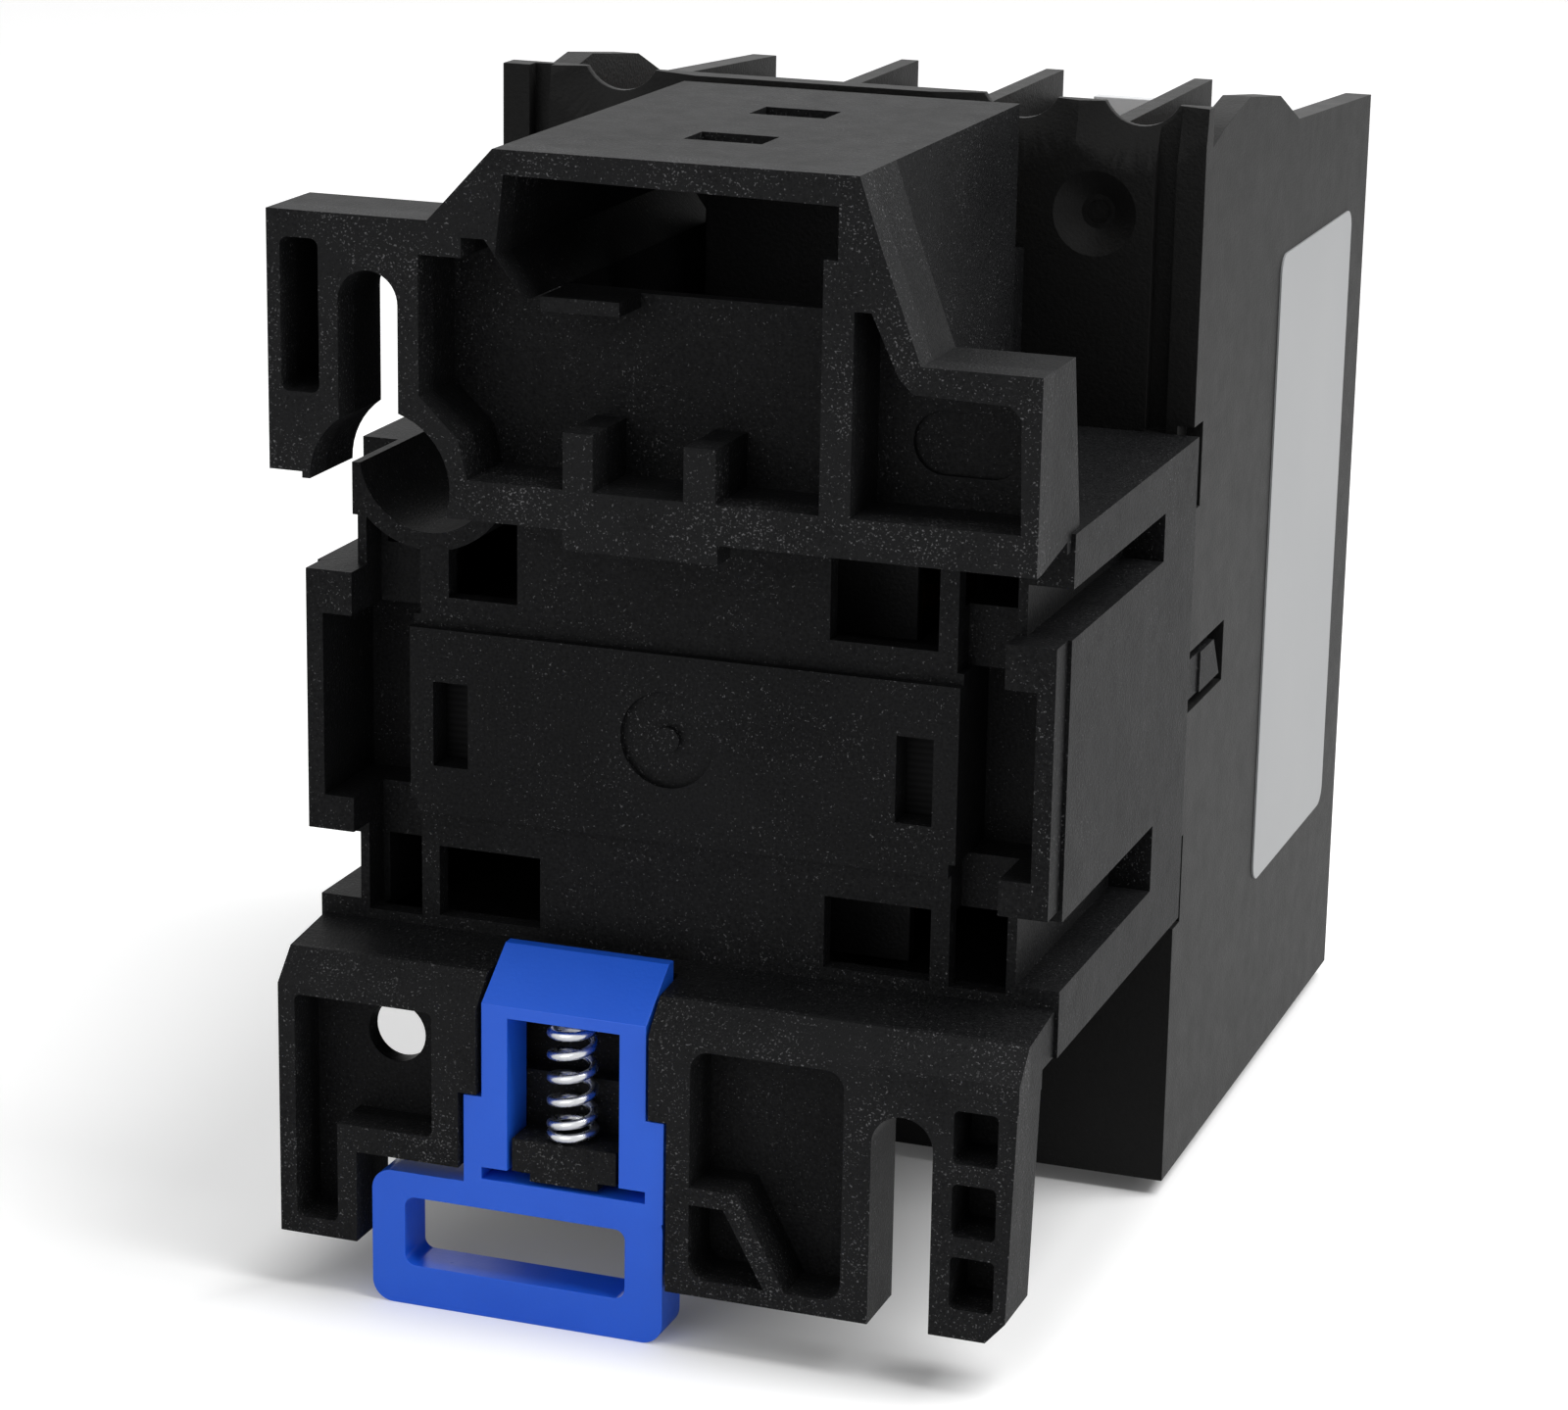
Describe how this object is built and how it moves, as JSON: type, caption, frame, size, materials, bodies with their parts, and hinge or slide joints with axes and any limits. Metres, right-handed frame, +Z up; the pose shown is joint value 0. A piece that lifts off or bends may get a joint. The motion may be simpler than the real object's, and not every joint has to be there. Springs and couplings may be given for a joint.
{
  "type": "control relay",
  "caption": "Black industrial control relay with rail groove, screw ears, blue sliding rail clip, roofed coil terminal box, and a contact housing with covered screw terminals.",
  "frame": {"origin": "centre of the bounding box in plan, at the bottom of the rail clip's pull loop", "axes": "+Z up; +Y towards the mounting plane, so the front faces -Y; +X to the left seen from behind"},
  "size_m": [0.0564, 0.097, 0.0852],
  "materials": {
    "base_plastic": "matte",
    "housing_plastic": "satin",
    "cover_plastic": "satin",
    "blue_plastic": "satin",
    "white_plastic": "satin",
    "label_film": "satin",
    "spring_steel": "satin",
    "core_steel": "satin",
    "zinc_steel": "satin",
    "copper": "satin",
    "winding_copper": "gloss",
    "terminal_brass": "satin",
    "contact_silver": "satin",
    "bobbin_plastic": "matte",
    "carrier_plastic": "matte",
    "cushion_rubber": "matte"
  },
  "bodies": {
    "housing": {"base_housing": "base_plastic", "contact_housing": "housing_plastic", "front_cover": "cover_plastic", "marking_strip": "white_plastic", "side_label": "label_film", "fixed_core": "core_steel", "shading_rings": "copper", "core_cushion": "cushion_rubber", "coil_bobbin": "bobbin_plastic", "coil_winding": "winding_copper", "coil_terminals": "terminal_brass", "coil_clamps": "zinc_steel", "coil_terminal_screws": "zinc_steel", "line_contact_1": "copper", "line_contact_2": "copper", "line_contact_3": "copper", "line_contact_aux": "copper", "load_contact_1": "copper", "load_contact_2": "copper", "load_contact_3": "copper", "load_contact_aux": "copper", "fixed_contact_tips": "contact_silver", "terminal_clamps": "zinc_steel", "terminal_screws": "zinc_steel", "return_springs": "spring_steel", "din_clip_spring": "spring_steel"},
    "clip": {"din_clip": "blue_plastic"},
    "carrier": {"contact_carrier": "carrier_plastic", "armature": "core_steel", "armature_pin": "zinc_steel", "contact_spring_1": "spring_steel", "contact_spring_2": "spring_steel", "contact_spring_3": "spring_steel", "contact_spring_aux": "spring_steel"},
    "bridge_body_1": {"bridge_1": "copper", "bridge_tips_1": "contact_silver"},
    "bridge_body_2": {"bridge_2": "copper", "bridge_tips_2": "contact_silver"},
    "bridge_body_3": {"bridge_3": "copper", "bridge_tips_3": "contact_silver"},
    "bridge_body_aux": {"bridge_aux": "copper", "bridge_tips_aux": "contact_silver"}
  },
  "joints": [
    {"name": "clip_slide", "type": "slide", "parent": "housing", "child": "clip", "axis": [0, 0, -1], "range_m": [0, 0.004], "stiffness_N_per_m": 2500, "springref_m": -0.003, "deforming": ["din_clip_spring"]},
    {"name": "carrier_slide", "type": "slide", "parent": "housing", "child": "carrier", "axis": [0, 1, 0], "range_m": [0, 0.0055], "stiffness_N_per_m": 900, "springref_m": -0.003, "deforming": ["return_springs"]},
    {"name": "bridge_1_slide", "type": "slide", "parent": "carrier", "child": "bridge_body_1", "axis": [0, -1, 0], "range_m": [0, 0.002], "deforming": ["contact_spring_1"]},
    {"name": "bridge_2_slide", "type": "slide", "parent": "carrier", "child": "bridge_body_2", "axis": [0, -1, 0], "range_m": [0, 0.002], "deforming": ["contact_spring_2"]},
    {"name": "bridge_3_slide", "type": "slide", "parent": "carrier", "child": "bridge_body_3", "axis": [0, -1, 0], "range_m": [0, 0.002], "deforming": ["contact_spring_3"]},
    {"name": "bridge_aux_slide", "type": "slide", "parent": "carrier", "child": "bridge_body_aux", "axis": [0, -1, 0], "range_m": [0, 0.002], "deforming": ["contact_spring_aux"]}
  ],
  "couplings": [
    {"joint": "bridge_1_slide", "follows": "carrier_slide", "ratio": 0.36364},
    {"joint": "bridge_2_slide", "follows": "carrier_slide", "ratio": 0.36364},
    {"joint": "bridge_3_slide", "follows": "carrier_slide", "ratio": 0.36364},
    {"joint": "bridge_aux_slide", "follows": "carrier_slide", "ratio": 0.36364}
  ]
}
